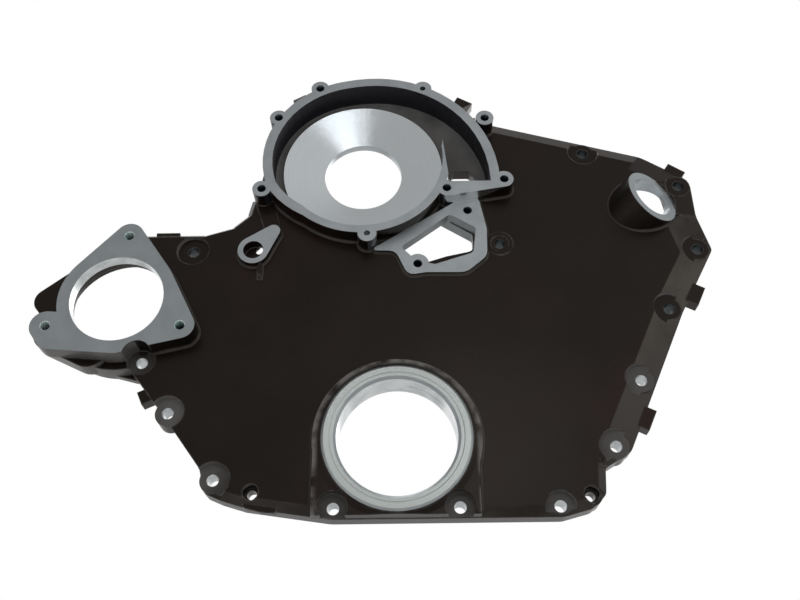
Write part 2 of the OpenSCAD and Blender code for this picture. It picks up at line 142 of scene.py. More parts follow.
class Finish:
    """One material and its nodes, or the nodes of a tree that is handed in."""

    def __init__(self, name, tree=None):
        if tree is None:
            self.material = bpy.data.materials.new(name)
            self.material.use_nodes = True
            tree = self.material.node_tree
        self.tree = tree
        self.tree.nodes.clear()

    def add(self, kind, settings=None, sockets=None, output=0):
        """Adds a node, sets its options, then fills its sockets with values or links."""
        node = self.tree.nodes.new(kind)
        for name, value in (settings or {}).items():
            setattr(node, name, value)
        for key, value in (sockets or {}).items():
            if isinstance(value, Signal):
                self.tree.links.new(value.socket, node.inputs[key])
            else:
                node.inputs[key].default_value = value
        return Signal(self, node.outputs[output]) if len(node.outputs) else None

    def place(self):
        """The point on the casting, in metres."""
        return self.add("ShaderNodeTexCoord", output="Object")

    def parts(self, vector):
        """The three numbers of a vector."""
        node = self.add("ShaderNodeSeparateXYZ", None, {0: vector}).socket.node
        return [Signal(self, socket) for socket in node.outputs]

    def noise(self, vector, scale, detail=3.0, roughness=0.55):
        sockets = {"Vector": vector, "Scale": scale, "Detail": detail, "Roughness": roughness}
        return self.add("ShaderNodeTexNoise", None, sockets)

    def mix(self, factor, first, second):
        """A colour between first and second."""
        return self.add("ShaderNodeMix", {"data_type": "RGBA"}, {0: factor, 6: first, 7: second}, output=2)

    def length(self, x, z):
        """The root of x squared plus z squared."""
        flat = self.add("ShaderNodeCombineXYZ", None, {0: x, 2: z})
        return self.add("ShaderNodeVectorMath", {"operation": "LENGTH"}, {0: flat}, output=1)

    def radius(self, vector, centre):
        """Distance from an axis that runs front to back through centre, in metres."""
        x, _, z = self.parts(vector)
        return self.length(x - centre[0], z - centre[1])

    def bump(self, height, distance, strength=1.0, normal=None):
        """A normal tilted by the slopes of a height, on top of another normal where one is given."""
        sockets = {"Height": height, "Distance": distance, "Strength": strength}
        if normal is not None:
            sockets["Normal"] = normal
        return self.add("ShaderNodeBump", None, sockets)

    def round_edge(self, radius):
        """A normal that turns round an edge as if the edge had this radius."""
        return self.add("ShaderNodeBevel", {"samples": BEVEL_SAMPLES}, {"Radius": radius})

    def edge_wear_and_glint(self, rounded):
        """1 on edges and in corners, 0 on flat ground: how far a rounded normal leans from the face's own."""
        own = self.add("ShaderNodeNewGeometry", output="Normal")
        both = {0: rounded, 1: own}
        agree = self.add("ShaderNodeVectorMath", {"operation": "DOT_PRODUCT"}, both, output=1)
        return (1.0 - agree).steps(*WEAR_AND_GLINT_LEAN)

    def surface(self, **sockets):
        """The Principled shader. An underscore stands for a space in a socket's name."""
        named = {key.replace("_", " "): value for key, value in sockets.items()}
        return self.add("ShaderNodeBsdfPrincipled", None, named)

    def done(self, shader):
        self.add("ShaderNodeOutputMaterial", None, {"Surface": shader})
        return self.material


print("Finish:", Finish.__doc__)

# %% [markdown]
# ## Sky and floor
# The part hangs in front of a white backdrop, over a pale floor that throws light up at its undersides. A
# room could be built round it, but a few numbers in the sky do the same. Metal mirrors the white backdrop
# behind the part, and the room in front is darker, with a lighter wall to the right, which keeps the black
# paint black. The camera looks up from below, so the floor shows its upper side only: from below it is clear.

# %% Sky
SKY_LIGHT = 0.60
ROOM_LIGHT = 0.42
WALL_LIGHT = 0.16
WALL_STARTS = (0.0, 0.35)
BACKDROP_STARTS = (-0.10, 0.50)

world = bpy.data.worlds.new("studio")
bpy.context.scene.world = world
world.use_nodes = True
sky = Finish("studio", world.node_tree)
to_camera = sky.add("ShaderNodeLightPath", output="Is Camera Ray")
through_glass = sky.add("ShaderNodeLightPath", output="Is Transmission Ray")
mirrored = sky.add("ShaderNodeLightPath", output="Is Glossy Ray")
toward_right, toward_backdrop, _ = sky.parts(sky.add("ShaderNodeTexCoord", output="Generated"))
room = ROOM_LIGHT + toward_right.steps(*WALL_STARTS) * WALL_LIGHT
in_mirror = room + toward_backdrop.steps(*BACKDROP_STARTS) * (1.0 - room)
seen_directly = (to_camera + through_glass) * (1.0 - SKY_LIGHT)
strength = SKY_LIGHT + seen_directly + mirrored * (in_mirror - SKY_LIGHT)
backdrop = sky.add("ShaderNodeBackground", None, {"Color": (1.0, 1.0, 1.0, 1.0), "Strength": strength})
sky.add("ShaderNodeOutputWorld", None, {"Surface": backdrop})
print("sky nodes:", len(world.node_tree.nodes))

# %% Floor
FLOOR_HALF = 200.0
FLOOR_DROP = 0.06
FLOOR_DARK = (0.80, 0.80, 0.80, 1.0)
FLOOR_LIGHT = (0.84, 0.84, 0.84, 1.0)
PAPER_GRAIN = 30.0

floor_finish = Finish("floor_paper")
grain = floor_finish.noise(floor_finish.place(), PAPER_GRAIN)
paper = floor_finish.surface(
    Base_Color=floor_finish.mix(grain, FLOOR_DARK, FLOOR_LIGHT), Roughness=0.9, Specular_IOR_Level=0.1)
clear = floor_finish.add("ShaderNodeBsdfTransparent")
under = floor_finish.add("ShaderNodeNewGeometry", output="Backfacing")
one_sided = floor_finish.add("ShaderNodeMixShader", None, {0: under, 1: paper, 2: clear})
floor_z = CAD_BOX[0][2] - FLOOR_DROP
floor_mesh = bpy.data.meshes.new("floor")
corners = [(x * FLOOR_HALF, y * FLOOR_HALF, floor_z) for x, y in ((-1, -1), (1, -1), (1, 1), (-1, 1))]
floor_mesh.from_pydata(corners, [], [(0, 1, 2, 3)])
floor_mesh.materials.append(floor_finish.done(one_sided))
floor = bpy.data.objects.new("floor", floor_mesh)
bpy.context.scene.collection.objects.link(floor)
print("floor at", round(floor_z / MM, 1), "mm")

# %% [markdown]
# ## Lamps
# Dark gloss paint shows a lamp as a highlight more than as brightness. So one soft window in front gives the
# highlights, a small lamp beside it gives the turned faces their narrow fan, and the lamps at the side, top
# and rear only keep the other sides readable. Area lamps do this better than a sun, because a highlight has
# a size.

# %% Lamps
LAMP_AIM = Vector((0.0, 0.0, 0.16))
WHITE = (1.0, 1.0, 1.0)
DAYLIGHT = (0.92, 0.96, 1.0)


def soft_lamp(name, at, size, watts, colour=WHITE):
    """A square area lamp at a point, turned to the middle of the cover."""
    lamp_data = bpy.data.lights.new(name, "AREA")
    lamp_data.size = size
    lamp_data.energy = watts
    lamp_data.color = colour
    lamp = bpy.data.objects.new(name, lamp_data)
    lamp.location = at
    lamp.rotation_euler = (LAMP_AIM - Vector(at)).to_track_quat("-Z", "Y").to_euler()
    bpy.context.scene.collection.objects.link(lamp)
    return lamp


lamps = [
    soft_lamp("window_lamp", (0.22, -1.92, 0.58), 0.44, 1.10, DAYLIGHT),
    soft_lamp("strip_lamp", (-0.01, -1.94, 0.54), 0.08, 0.12),
    soft_lamp("side_lamp", (1.3, -1.2, 0.45), 0.6, 1.5),
    soft_lamp("top_lamp", (-0.3, 0.4, 1.9), 1.0, 5.0),
    soft_lamp("rear_lamp", (0.6, 1.5, 1.1), 1.2, 7.0),
]
print("lamps:", [lamp.name for lamp in lamps])

# %% [markdown]
# ## Where the cutters went
# On the real cover the paint goes on first, and the machined faces are cut through it. The faces could be
# picked by hand, but they are known from the geometry: flat faces at the depths where parts bolt on, the cone
# of the pump, and the walls of the bores. A copy of the casting takes these zones as material slots. Each
# triangle is sorted alone, by the place of its middle and the way it faces, with whole arrays.

# %% Read the casting's triangles
mesh = cover_node.data
points = np.zeros(len(mesh.vertices) * 3)
mesh.vertices.foreach_get("co", points)
points = points.reshape(-1, 3) / MM
triangles = np.zeros(len(mesh.polygons) * 3, int)
mesh.polygons.foreach_get("vertices", triangles)
triangles = triangles.reshape(-1, 3)
corner_points = points[triangles]
middle = corner_points.mean(1)
edge_a = corner_points[:, 1] - corner_points[:, 0]
edge_b = corner_points[:, 2] - corner_points[:, 0]
facing = np.cross(edge_a, edge_b)
facing /= np.maximum(np.linalg.norm(facing, axis=1, keepdims=True), 1e-12)
depth = -middle[:, 1]
flat_place = middle[:, [0, 2]]
flat_facing = facing[:, [0, 2]]
print("triangles:", len(triangles))

# %% Main places of the cover, in millimetres
PUMP = np.array([-34.0, 301.0])
ACCESSORY = np.array([-267.5, 138.5])
SENSOR = np.array([-142.0, 197.0])
SEAL = np.array([0.0, 0.0])
GEARS = np.array([40.0, 110.0])
OUTLET_WINDOW = PUMP + [82.0, -94.0]
FILLER_FACE = np.array([262.5, -36.0, 252.0])
FILLER_LEAN, FILLER_RISE = np.radians([32.0, 10.0])
FILLER_AXIS = np.array([
    np.sin(FILLER_LEAN) * np.cos(FILLER_RISE),
    -np.cos(FILLER_LEAN) * np.cos(FILLER_RISE),
    np.sin(FILLER_RISE)])
FIXINGS = np.array([
    [200, 318], [296, 275], [304, 198], [266, 131], [229, 56], [198, -8], [143, -62], [55, -62], [-57, -62],
    [-165, -35], [-212, 29], [-242, 80], [-204, 202], [105, 205], [-342, 148]], float)
RING_HOLES = PUMP + [[-102, -38], [-89, 53], [-46, 92], [130, 49], [146, -30], [87, -40]]
OUTLET_HOLES = PUMP + [[108, -58], [56, -120]]
PIN_HOLES = PUMP + [[65, 90], [6, -93]]
LOBE_ANGLES = np.radians([87.0, 204.0, 335.0])
LOBE_HOLES = ACCESSORY + 70.0 * np.stack([np.cos(LOBE_ANGLES), np.sin(LOBE_ANGLES)], 1)
print("holes listed:", len(FIXINGS) + len(RING_HOLES) + len(OUTLET_HOLES) + len(LOBE_HOLES))

# %% Depths and radii, in millimetres
PLATE, BOLT_SEAT, SLOPE_FOOT, GEAR_FLOOR, POCKET_FLOOR = 25.0, 20.5, 17.0, 17.0, 17.3
SEAL_FACE, PUMP_FACE, ACCESSORY_FACE, OUTLET_FACE, SENSOR_FACE = 36.5, 44.0, 44.0, 29.0, 33.0
PAD_DEPTH, MATING_FACE = 4.0, 0.0
SEAL_R, SEAL_RING_R, EYE_R, FUNNEL_R, ACCESSORY_R, FILLER_R = 55.0, 68.5, 41.0, 84.0, 45.0, 23.0
FIXING_R, SEAT_R, RING_HOLE_R, LOBE_HOLE_R, PIN_HOLE_R = 5.5, 16.5, 4.5, 5.0, 3.0
VOLUTE_R, HONEYCOMB_R, PUMP_WALL_R, GEAR_SPACE_R = 136.0, 140.0, 160.0, 250.0
FILLER_FLANGE_R, SENSOR_BOSS_R, PADS_R = 34.0, 40.0, 110.0
DEPTH_SLACK, WALL_SLACK = 0.06, 0.25

front = facing[:, 1] < -0.98
rear = facing[:, 1] > 0.98
upright = np.abs(facing[:, 1]) < 0.05


def from_axis(centre):
    """Distance of each triangle's middle from an axis that runs front to back through centre."""
    return np.hypot(*(flat_place - centre).T)


def looks_at(centre):
    """Triangles that face a flat point: the way to it and the way they face agree."""
    return ((centre - flat_place) * flat_facing).sum(1) > 0


def at_depth(value):
    """Triangles that lie at a depth."""
    return np.abs(depth - value) < DEPTH_SLACK


def on_wall(centres, radius):
    """Triangles on the wall of one of several round holes of one radius."""
    spread = flat_place[:, None] - np.reshape(centres, (1, -1, 2))
    return (np.abs(np.linalg.norm(spread, axis=2) - radius) < WALL_SLACK).any(1) & upright


print("front, rear and upright triangles:", front.sum(), rear.sum(), upright.sum())

# %% Zones of paint
(PAINT, CAVITY, POCKET, WORN_AND_SHEEN, MILLED, TURNED, RING, BORE, FLANGE, DRILLED, TAPPED_SHADED, PADS, CUT, PAINTED_REFLECTION,
 SEAT) = range(15)
zone = np.full(len(triangles), PAINT)
flat_x, flat_z = flat_place.T
pump_r, seal_r = from_axis(PUMP), from_axis(SEAL)
pump_x, pump_z = (flat_place - PUMP).T
by_accessory = flat_x < -190
low_down = flat_z < 90

zone[rear & (depth > 1)] = CAVITY
zone[upright & (depth < GEAR_FLOOR) & (pump_r > PUMP_WALL_R) & (from_axis(GEARS) < GEAR_SPACE_R)] = CAVITY
zone[rear & (depth > 1) & (depth < POCKET_FLOOR) & (pump_r < HONEYCOMB_R) & (pump_z > -125)] = POCKET
in_volute = (pump_r > FUNNEL_R - 1) & (pump_r < VOLUTE_R) & (depth > 13) & (facing[:, 1] < 0.1)
zone[in_volute & upright & looks_at(PUMP)] = POCKET
# The floor of the volute takes the light grey paint: painted light where the floor lies in shade.
zone[in_volute & front & (depth < 21) & (pump_z > -45)] = PAINTED_REFLECTION
slope = (facing[:, 1] < -0.4) & (facing[:, 1] > -0.985) & (depth > SLOPE_FOOT) & (depth < PLATE)
# The slope bands at the right and the bottom take the lighter paint: partly wear, partly painted sheen and
# glints.
zone[slope & ((flat_x > 185) | (flat_z < -50)) & (flat_z < 240)] = WORN_AND_SHEEN
# The accessory's undersides take the light grey paint: a painted reflection of the lit floor.
below_flange = (flat_x < -245) & (flat_z < 110) & (facing[:, 2] < -0.2) & (facing[:, 1] < 0.3)
zone[by_accessory & below_flange] = PAINTED_REFLECTION
print("triangles in each zone of paint:", np.bincount(zone))

# %% Zones of the bolt seats
fixing_r = np.linalg.norm(flat_place[:, None] - FIXINGS[None], axis=2)
nearest, to_fixing = fixing_r.argmin(1), fixing_r.min(1)
zone[front & at_depth(BOLT_SEAT) & (to_fixing < SEAT_R) & low_down] = SEAT
# The walls of the seats that face the hole take the light grey paint: a painted highlight.
seat_wall = upright & (depth > BOLT_SEAT) & (depth < PLATE) & (to_fixing > 9) & (to_fixing < SEAT_R)
zone[seat_wall & looks_at(FIXINGS[nearest])] = PAINTED_REFLECTION
print("seat triangles:", (zone == SEAT).sum())

# %% Zones of the milled faces
zone[rear & at_depth(MATING_FACE)] = MILLED
zone[rear & at_depth(PAD_DEPTH) & (seal_r > SEAL_R) & (seal_r < PADS_R)] = PADS
zone[front & at_depth(PUMP_FACE) & ~by_accessory] = MILLED
at_outlet = (pump_x > 4) & (pump_x < 130) & (pump_z < -40) & (pump_z > -136)
zone[front & at_depth(OUTLET_FACE) & at_outlet] = MILLED
zone[upright & at_outlet & looks_at(OUTLET_WINDOW) & (pump_r > 96)] = CUT
under_bar = (pump_x > 84) & (pump_x < 130) & (pump_z > -56) & (pump_z < -34) & (facing[:, 2] < -0.5)
zone[upright & under_bar & (depth > 24)] = BORE
zone[front & at_depth(SENSOR_FACE) & (from_axis(SENSOR) < SENSOR_BOSS_R)] = MILLED
zone[front & at_depth(ACCESSORY_FACE) & by_accessory] = FLANGE
print("milled triangles:", (zone == MILLED).sum())

# %% Zones of the bores and holes
zone[on_wall(ACCESSORY, ACCESSORY_R) & (depth > 31)] = BORE
zone[(depth > SEAL_FACE - 2.6) & (seal_r < SEAL_RING_R) & (facing[:, 1] < -0.3)] = RING
zone[on_wall(SEAL, SEAL_R)] = BORE
cone = (facing[:, 1] < -0.5) & (facing[:, 1] > -0.995)
zone[cone & (pump_r < FUNNEL_R) & (depth < 20)] = TURNED
zone[on_wall(PUMP, EYE_R)] = TURNED
from_filler = middle - FILLER_FACE
along_filler = from_filler @ FILLER_AXIS
filler_r = np.linalg.norm(from_filler - along_filler[:, None] * FILLER_AXIS, axis=1)
up_filler = facing @ FILLER_AXIS
zone[(np.abs(along_filler) < 0.1) & (filler_r < FILLER_FLANGE_R) & (up_filler > 0.98)] = FLANGE
zone[(np.abs(filler_r - FILLER_R) < 0.3) & (np.abs(up_filler) < 0.1)] = MILLED
# Holes higher up and the pump's tapped holes take near-black metal: painted shade for the depth of the holes.
zone[on_wall(FIXINGS, FIXING_R)] = TAPPED_SHADED
zone[on_wall(FIXINGS, FIXING_R) & low_down] = DRILLED
zone[on_wall(PIN_HOLES, PIN_HOLE_R) | on_wall(LOBE_HOLES, LOBE_HOLE_R)] = DRILLED
zone[on_wall(RING_HOLES, RING_HOLE_R) | on_wall(OUTLET_HOLES, RING_HOLE_R)] = TAPPED_SHADED
print("triangles in each zone:", np.bincount(zone))

# %% [markdown]
# ## Paint
# The paint is a thin dark coat on rough cast metal: it is not even, it has a faint brown cast with redder
# and greener clouds, and the sand's grain shows through it as small bumps. Inside the gear space it is
# glossier, with specks of dust, and in the pockets behind the pump it looks blue-black. A painted picture
# could hold all this, but noise on the casting's own place needs no unwrapping and has no seams.
# Some colours stand for light: the lighter colour on edges, in corners and on the arch's rim is partly wear
# and
# partly painted highlight, and the light grey paint of undersides and seat walls is painted reflection and
# highlight.

# %% Paint
BROAD_CLOUDS, CLOUDS, RUB_AND_GLINT_PATCHES = 7.0, 14.0, 60.0
COARSE_GRAIN, DUST_SPECKS, FINE_GRAIN = 150.0, 260.0, 900.0
DUST = (0.16, 0.15, 0.14, 1.0)
# A lighter rubbed colour: on convex edges partly worn paint and partly painted highlight, in hollow corners
# painted highlight.
RUBBED_AND_GLINT = (0.22, 0.21, 0.20, 1.0)
WARM_GLOSS = (1.0, 0.86, 0.76, 1.0)
ARCH_STARTS, ARCH_ENDS, ARCH_FRONT = (0.0700, 0.0750), (0.0776, 0.0780), (-0.0268, -0.0258)
ARCH_FOOT = (-0.001, 0.001)
PAINT_EDGE, GRAIN_HEIGHT = 0.0022, 0.0003


def cast_paint(name, dark, light, tint, gloss, dust, wear_and_glint):
    """Dark paint on cast metal: dark and light are its two browns, tint a third colour in broad clouds. A
    lighter colour goes on edges and in corners, partly worn paint and partly painted highlight, and on the rim
    of the arch round the seal as a painted highlight, by the share that wear_and_glint gives."""
    f = Finish(name)
    p = f.place()
    cloud = f.noise(p, CLOUDS, 4.0)
    broad = f.noise(p, BROAD_CLOUDS, 2.0).steps(0.48, 0.72)
    colour = f.mix(broad * 0.8, f.mix(cloud.steps(0.35, 0.65), dark, light), tint)
    specks = f.noise(p, DUST_SPECKS, 2.0).steps(0.70, 0.76) * dust
    colour = f.mix(specks, colour, DUST)
    x, y, z = f.parts(p)
    # The rim of the arch round the seal takes the lighter colour: a painted highlight of a rounded edge.
    from_arch = f.length(x, z * z.steps(*ARCH_FOOT))
    arch_rim_highlight = from_arch.steps(*ARCH_STARTS) * (1.0 - from_arch.steps(*ARCH_ENDS)) * (1.0 - y.steps(*ARCH_FRONT))
    rounded = f.round_edge(PAINT_EDGE)
    patches = f.noise(p, RUB_AND_GLINT_PATCHES, 3.0).steps(0.30, 0.62)
    colour = f.mix((f.edge_wear_and_glint(rounded) + arch_rim_highlight * 0.8) * patches * wear_and_glint, colour, RUBBED_AND_GLINT)
    grains = f.noise(p, FINE_GRAIN, 3.0) * 0.4 + f.noise(p, COARSE_GRAIN, 2.0)
    shader = f.surface(
        Base_Color=colour,
        Roughness=gloss + cloud * 0.10,
        Specular_IOR_Level=0.30,
        Specular_Tint=WARM_GLOSS,
        Normal=f.bump(grains, GRAIN_HEIGHT, 0.25, rounded))
    return f.done(shader)


paints = {
    PAINT: cast_paint(
        "cast_paint", (0.0042, 0.0029, 0.0020, 1.0), (0.0072, 0.0054, 0.0038, 1.0),
        (0.0125, 0.0042, 0.0046, 1.0), gloss=0.25, dust=0.05, wear_and_glint=0.9),
    CAVITY: cast_paint(
        "cavity_paint", (0.0100, 0.0060, 0.0050, 1.0), (0.0150, 0.0095, 0.0080, 1.0),
        (0.0085, 0.0085, 0.0110, 1.0), gloss=0.20, dust=0.8, wear_and_glint=0.3),
    POCKET: cast_paint(
        "pocket_paint", (0.0095, 0.0100, 0.0140, 1.0), (0.0140, 0.0150, 0.0200, 1.0),
        (0.0120, 0.0120, 0.0160, 1.0), gloss=0.42, dust=0.2, wear_and_glint=0.3),
    # Lighter paint for the slopes and fillets: partly worn paint, partly painted highlight.
    WORN_AND_SHEEN: cast_paint(
        "worn_paint_and_sheen", (0.012, 0.0105, 0.009, 1.0), (0.050, 0.046, 0.040, 1.0),
        (0.030, 0.028, 0.027, 1.0), gloss=0.26, dust=0.3, wear_and_glint=0.8),
    # A light grey paint that is not the cover's own colour: painted reflection and painted highlight.
    PAINTED_REFLECTION: cast_paint(
        "painted_reflection_grey", (0.09, 0.088, 0.086, 1.0), (0.20, 0.198, 0.194, 1.0),
        (0.14, 0.138, 0.137, 1.0), gloss=0.30, dust=0.2, wear_and_glint=0.4),
    SEAT: cast_paint(
        "rubbed_seat", (0.040, 0.039, 0.037, 1.0), (0.110, 0.108, 0.104, 1.0),
        (0.070, 0.068, 0.067, 1.0), gloss=0.34, dust=0.3, wear_and_glint=0.6),
}
print("paints:", [finish.name for finish in paints.values()])

# %% [markdown]
# ## Machined metal
# A face mill or a boring bar leaves bare grey metal with fine round marks. They could be cut into the mesh,
# but they are a hundredth of a millimetre deep, so a sine of the distance from the cutter's axis goes into
# the bump instead. The raised pads round the seal look only skimmed: there the metal shows in blotches.

# %% Machined metal
PALE = (0.50, 0.53, 0.545, 1.0)
GREY = (0.42, 0.45, 0.465, 1.0)
BRIGHT = (0.74, 0.76, 0.76, 1.0)
SHOP_DRIFT, TOOL_MARK, METAL_EDGE = 45.0, 0.00001, 0.0005
MILL_CENTRE = (0.0, 0.16)


def machined(name, colour, worn, roughness, centre, pitch):
    """Bare metal with round tool marks about an axis: the sine of the radius, one wave to a pitch."""
    f = Finish(name)
    p = f.place()
    marks = (f.radius(p, centre) * (TURN / pitch)).sin()
    drift = f.noise(p, SHOP_DRIFT, 3.0)
    shader = f.surface(
        Base_Color=f.mix(drift.steps(0.3, 0.75), colour, worn),
        Metallic=1.0,
        Roughness=roughness + drift * 0.10,
        Normal=f.bump(marks, TOOL_MARK, 1.0, f.round_edge(METAL_EDGE)))
    return f.done(shader)


metals = {
    MILLED: machined("milled_face", PALE, GREY, 0.36, MILL_CENTRE, 0.0016),
    TURNED: machined("turned_funnel", PALE, GREY, 0.26, PUMP * MM, 0.0030),
    RING: machined("turned_ring", PALE, GREY, 0.34, SEAL * MM, 0.0020),
    BORE: machined("bored_wall", BRIGHT, PALE, 0.20, SEAL * MM, 0.0020),
    FLANGE: machined("flange_face", (0.37, 0.40, 0.41, 1.0), GREY, 0.42, ACCESSORY * MM, 0.0014),
    DRILLED: machined("drilled_wall", PALE, BRIGHT, 0.32, SEAL * MM, 0.0012),
    # Near-black metal for hole walls: painted shade for the depth of the holes.
    TAPPED_SHADED: machined(
        "tapped_wall_painted_shade", (0.05, 0.06, 0.065, 1.0), (0.10, 0.115, 0.12, 1.0), 0.35, SEAL * MM, 0.0012),
    CUT: machined("cut_wall", (0.20, 0.215, 0.22, 1.0), (0.26, 0.275, 0.28, 1.0), 0.45, PUMP * MM, 0.0012),
}
print("metals:", [finish.name for finish in metals.values()])

# %% Blotched metal of the pads round the seal
BLOTCHES = 170.0
BARE_METAL = (0.52, 0.55, 0.55, 1.0)
CAST_SKIN = (0.05, 0.055, 0.06, 1.0)
BLOTCH_HEIGHT = 0.0003


def blotched(name):
    """Bare metal where a noise is high, the dark cast skin where it is low."""
    f = Finish(name)
    bare = f.noise(f.place(), BLOTCHES, 4.0, 0.7).steps(0.40, 0.58)
    shader = f.surface(
        Base_Color=f.mix(bare, CAST_SKIN, BARE_METAL),
        Metallic=0.4 + bare * 0.6,
        Roughness=0.62 - bare * 0.2,
        Normal=f.bump(bare, BLOTCH_HEIGHT, 0.6))
    return f.done(shader)


metals[PADS] = blotched("blotched_pad")
print("finishes:", len(paints) + len(metals))

# %% [markdown]
# ## The casting
# The casting keeps its packed shape: a copy of its mesh takes one material slot for each zone, and the zone
# of each triangle becomes its slot. Separate pieces for each finish would leave gaps where they meet.

# %% The casting with its zones
finishes = {**paints, **metals}
casting_mesh = mesh.copy()
casting_mesh.materials.clear()
for number in range(len(finishes)):
    casting_mesh.materials.append(finishes[number])
casting_mesh.polygons.foreach_set("material_index", zone.astype(np.int32))
casting = bpy.data.objects.new("cover_casting", casting_mesh)
bpy.context.scene.collection.objects.link(casting)
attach(casting, "root")
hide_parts("timing_cover")
print("casting:", len(casting_mesh.polygons), "triangles")

# %% [markdown]
# ## Surfaces from arrays
# The small pieces below are grids: a function of two parameters gives a point for every row and column. One
# helper turns such an array into a mesh. Several grids of one kind may sit in one array, so nothing is built
# point by point.

# %% Grid helper
def grid_piece(name, grid, finish, closed=False):
    """A mesh from an array of shape (grids, rows, columns, 3) in millimetres. In a closed one the last column
    joins the first."""
    grids, rows, columns, _ = grid.shape
    index = np.arange(grids * rows * columns).reshape(grids, rows, columns)
    if closed:
        index = np.concatenate([index, index[:, :, :1]], 2)
    this, following = index[:, :-1], index[:, 1:]
    quads = np.stack([this[..., :-1], following[..., :-1], following[..., 1:], this[..., 1:]], -1)
    quads = quads.reshape(-1, 4)
    piece_mesh = bpy.data.meshes.new(name)
    piece_mesh.from_pydata((grid.reshape(-1, 3) * MM).tolist(), [], quads.tolist())
    piece_mesh.polygons.foreach_set("use_smooth", np.ones(len(quads), bool))
    piece_mesh.materials.append(finish)
    piece = bpy.data.objects.new(name, piece_mesh)
    bpy.context.scene.collection.objects.link(piece)
    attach(piece, "root")
    print(name, len(quads), "quads")
    return piece


print("grid_piece:", grid_piece.__doc__)

# %% [markdown]
# ## Turned faces
# A lathe leaves rings, and rings throw light in a fan: a bright wedge that points at the axis. An anisotropic
# shader could fake it, but it needs a tangent on every piece. Rings finer than a picture's dots do it too:
# every ray meets another slope of a ring, so the light spreads along the radius and stays narrow across it.
# The cone of the pump and the ring round the seal get thin skins for this, each a profile turned about its
# axis.

# %% Lathe finish
RING_PITCH = 0.0004
RING_BANDS, LATHE_DRIFT = 700.0, 30.0


def turned_metal(name, colour, worn, roughness, centre, fan):
    """Bare metal from the lathe: rings about an axis through centre. The fan is the steepest slope of a
    ring's side, so a ring's height is the fan times its pitch over a full turn."""
    f = Finish(name)
    p = f.place()
    r = f.radius(p, centre)
    bands = f.noise(f.add("ShaderNodeCombineXYZ", None, {0: r}), RING_BANDS, 2.0)
    drift = f.noise(p, LATHE_DRIFT, 3.0)
    rings = (r * (TURN / RING_PITCH)).sin()
    shader = f.surface(
        Base_Color=f.mix(bands.steps(0.3, 0.7) * 0.5 + drift * 0.5, colour, worn),
        Metallic=1.0,
        Roughness=roughness + bands * 0.08,
        Normal=f.bump(rings, fan * RING_PITCH / TURN))
    return f.done(shader)


lathe_funnel = turned_metal(
    "lathe_funnel", (0.80, 0.845, 0.865, 1.0), (0.70, 0.74, 0.755, 1.0), 0.12, PUMP * MM, 0.09)
lathe_ring = turned_metal(
    "lathe_ring", (0.60, 0.635, 0.605, 1.0), (0.52, 0.55, 0.53, 1.0), 0.26, SEAL * MM, 0.14)
print("lathe finishes:", lathe_funnel.name, lathe_ring.name)

# %% Turned skins
SKIN, SKIN_GAP, SKIN_SIDES, FUNNEL_POINTS = 0.06, 0.1, 192, 12
EYE_DEPTH, FUNNEL_DEPTH = 8.0, 19.0
SEAL_LEAD, SEAL_RING_EDGE = 2.5, 1.5
RING_STEP, STEP_STARTS, STEP_ENDS = 0.7, 60.4, 61.2


def turned_skin(name, centre, profiles, finish):
    """Profiles of radius and depth, in an array of shape (profiles, points, 2), turned about an axis that runs
    front to back through centre. The first parameter runs along a profile, the second is the angle."""
    angle = np.linspace(0.0, TURN, SKIN_SIDES, endpoint=False)
    radius, level = np.moveaxis(profiles, 2, 0)[..., None]
    x = centre[0] + radius * np.cos(angle)
    z = centre[1] + radius * np.sin(angle)
    return grid_piece(name, np.stack([x, -(level + SKIN) + 0 * x, z], -1), finish, closed=True)


funnel_r = np.linspace(EYE_R + SKIN_GAP, FUNNEL_R - SKIN_GAP, FUNNEL_POINTS)
funnel_level = EYE_DEPTH + (FUNNEL_DEPTH - EYE_DEPTH) * (funnel_r - EYE_R) / (FUNNEL_R - EYE_R)
turned_skin("funnel_skin", PUMP, np.stack([funnel_r, funnel_level], 1)[None], lathe_funnel)
ring_inner = SEAL_R + SEAL_LEAD + SKIN_GAP
ring_outer = SEAL_RING_R - SEAL_RING_EDGE - SKIN_GAP
ring_profile = np.array([
    (ring_inner, SEAL_FACE), (STEP_STARTS, SEAL_FACE), (STEP_ENDS, SEAL_FACE + RING_STEP),
    (ring_outer - RING_STEP, SEAL_FACE + RING_STEP), (ring_outer, SEAL_FACE)])
turned_skin("seal_ring_skin", SEAL, np.stack([ring_profile[:-1], ring_profile[1:]], 1), lathe_ring)

# %% [markdown]
# ## Threads
# The tapped holes hold a spiral ridge that catches the light at the mouth. A bump on a plain wall would do
# from afar, but near the mouth the ridge breaks the outline, so it is a real surface: a triangle carried
# along a helix. The threads of the accessory's holes are bright; those of the pump's holes are near-black,
# which is painted shade for the depth of the holes.

# %% Threads in the tapped holes
PROUD = 0.02
THREAD_HEIGHT, THREAD_STARTS, THREAD_MOUTH, STEPS_A_TURN = 0.55, 0.4, 0.3, 24
TAP_MARKS = 0.0010


def threads(name, centres, radius, face, length, pitch, finish):
    """A ridge wound round each hole's wall. The first parameter is the angle, which also sinks one pitch a
    turn; the second runs across the ridge, which is a triangle that stands inwards by a share of the pitch."""
    turns = length / pitch
    angle = np.linspace(0.0, TURN * turns, int(turns * STEPS_A_TURN) + 1)[:, None]
    across = np.array([0.0, 0.5, 1.0])[None, :]
    r = radius - THREAD_HEIGHT * pitch * (1.0 - np.abs(2.0 * across - 1.0)) + PROUD
    sink = THREAD_STARTS + pitch * (angle / TURN + across - 0.5)
    x = r * np.cos(angle)
    y = -face + np.maximum(sink, THREAD_MOUTH)
    z = r * np.sin(angle)
    ridge = np.stack([x, y, z], -1)
    shift = np.stack([centres[:, 0], 0 * centres[:, 0], centres[:, 1]], 1)
    return grid_piece(name, ridge[None] + shift[:, None, None], finish)


